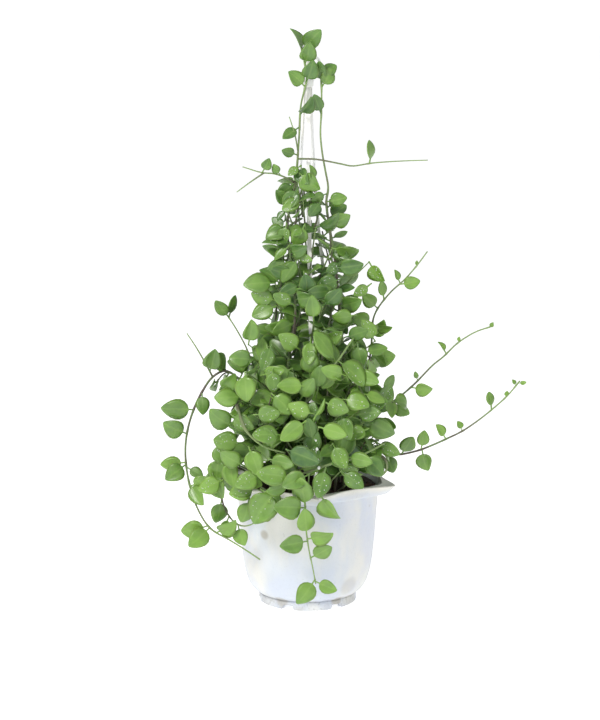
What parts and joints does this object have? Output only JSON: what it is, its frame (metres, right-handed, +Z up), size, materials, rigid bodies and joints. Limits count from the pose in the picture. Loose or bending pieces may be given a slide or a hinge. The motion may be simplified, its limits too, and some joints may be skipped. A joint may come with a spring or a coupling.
{
  "type": "potted trailing vine",
  "caption": "Trailing vine with small oval fleshy leaves in a white hanging pot, its stems wound up the straps of the hanger.",
  "frame": {"origin": "on the floor plane, below the middle of the whole object's bounding box; the pot's axis stands -38.9 mm along X and 9.2 mm along Y from it", "axes": "+Z up, -Y the front, +X to the right seen from the front"},
  "size_m": [0.3852, 0.2268, 0.605],
  "materials": {
    "pot_plastic": "white, satin, a little stained",
    "hanger_plastic": "white, smooth",
    "potting_mix": "dark brown, crumbly",
    "living_plant": "fleshy green leaf, satin"
  },
  "bodies": {
    "root": {"bush_high_1": "living_plant", "bush_high_2": "living_plant", "bush_high_3": "living_plant", "bush_high_4": "living_plant", "bush_high_5": "living_plant", "bush_high_6": "living_plant", "bush_high_7": "living_plant", "bush_low_1": "living_plant", "bush_low_2": "living_plant", "bush_low_3": "living_plant", "bush_low_4": "living_plant", "bush_low_5": "living_plant", "bush_low_6": "living_plant", "bush_low_7": "living_plant", "bush_middle_1": "living_plant", "bush_middle_2": "living_plant", "bush_middle_3": "living_plant", "bush_middle_4": "living_plant", "bush_middle_5": "living_plant", "bush_middle_6": "living_plant", "bush_middle_7": "living_plant", "bush_middle_8": "living_plant", "climber_left": "living_plant", "climber_right": "living_plant", "climber_wound_1": "living_plant", "climber_wound_2": "living_plant", "climber_wound_3": "living_plant", "climber_wound_4": "living_plant", "climber_wound_5": "living_plant", "climber_wound_6": "living_plant", "hanger_hook": "hanger_plastic", "pot_shell": "pot_plastic", "rim_clip_front": "hanger_plastic", "rim_clip_left": "hanger_plastic", "rim_clip_right": "hanger_plastic", "soil": "potting_mix", "strap_front": "hanger_plastic", "strap_left": "hanger_plastic", "strap_right": "hanger_plastic", "vine_front_sprig": "living_plant", "vine_left_arc": "living_plant", "vine_left_sprig": "living_plant", "vine_right_high": "living_plant", "vine_right_low": "living_plant", "vine_right_upper": "living_plant", "vine_trailing_left": "living_plant"}
  },
  "joints": []
}
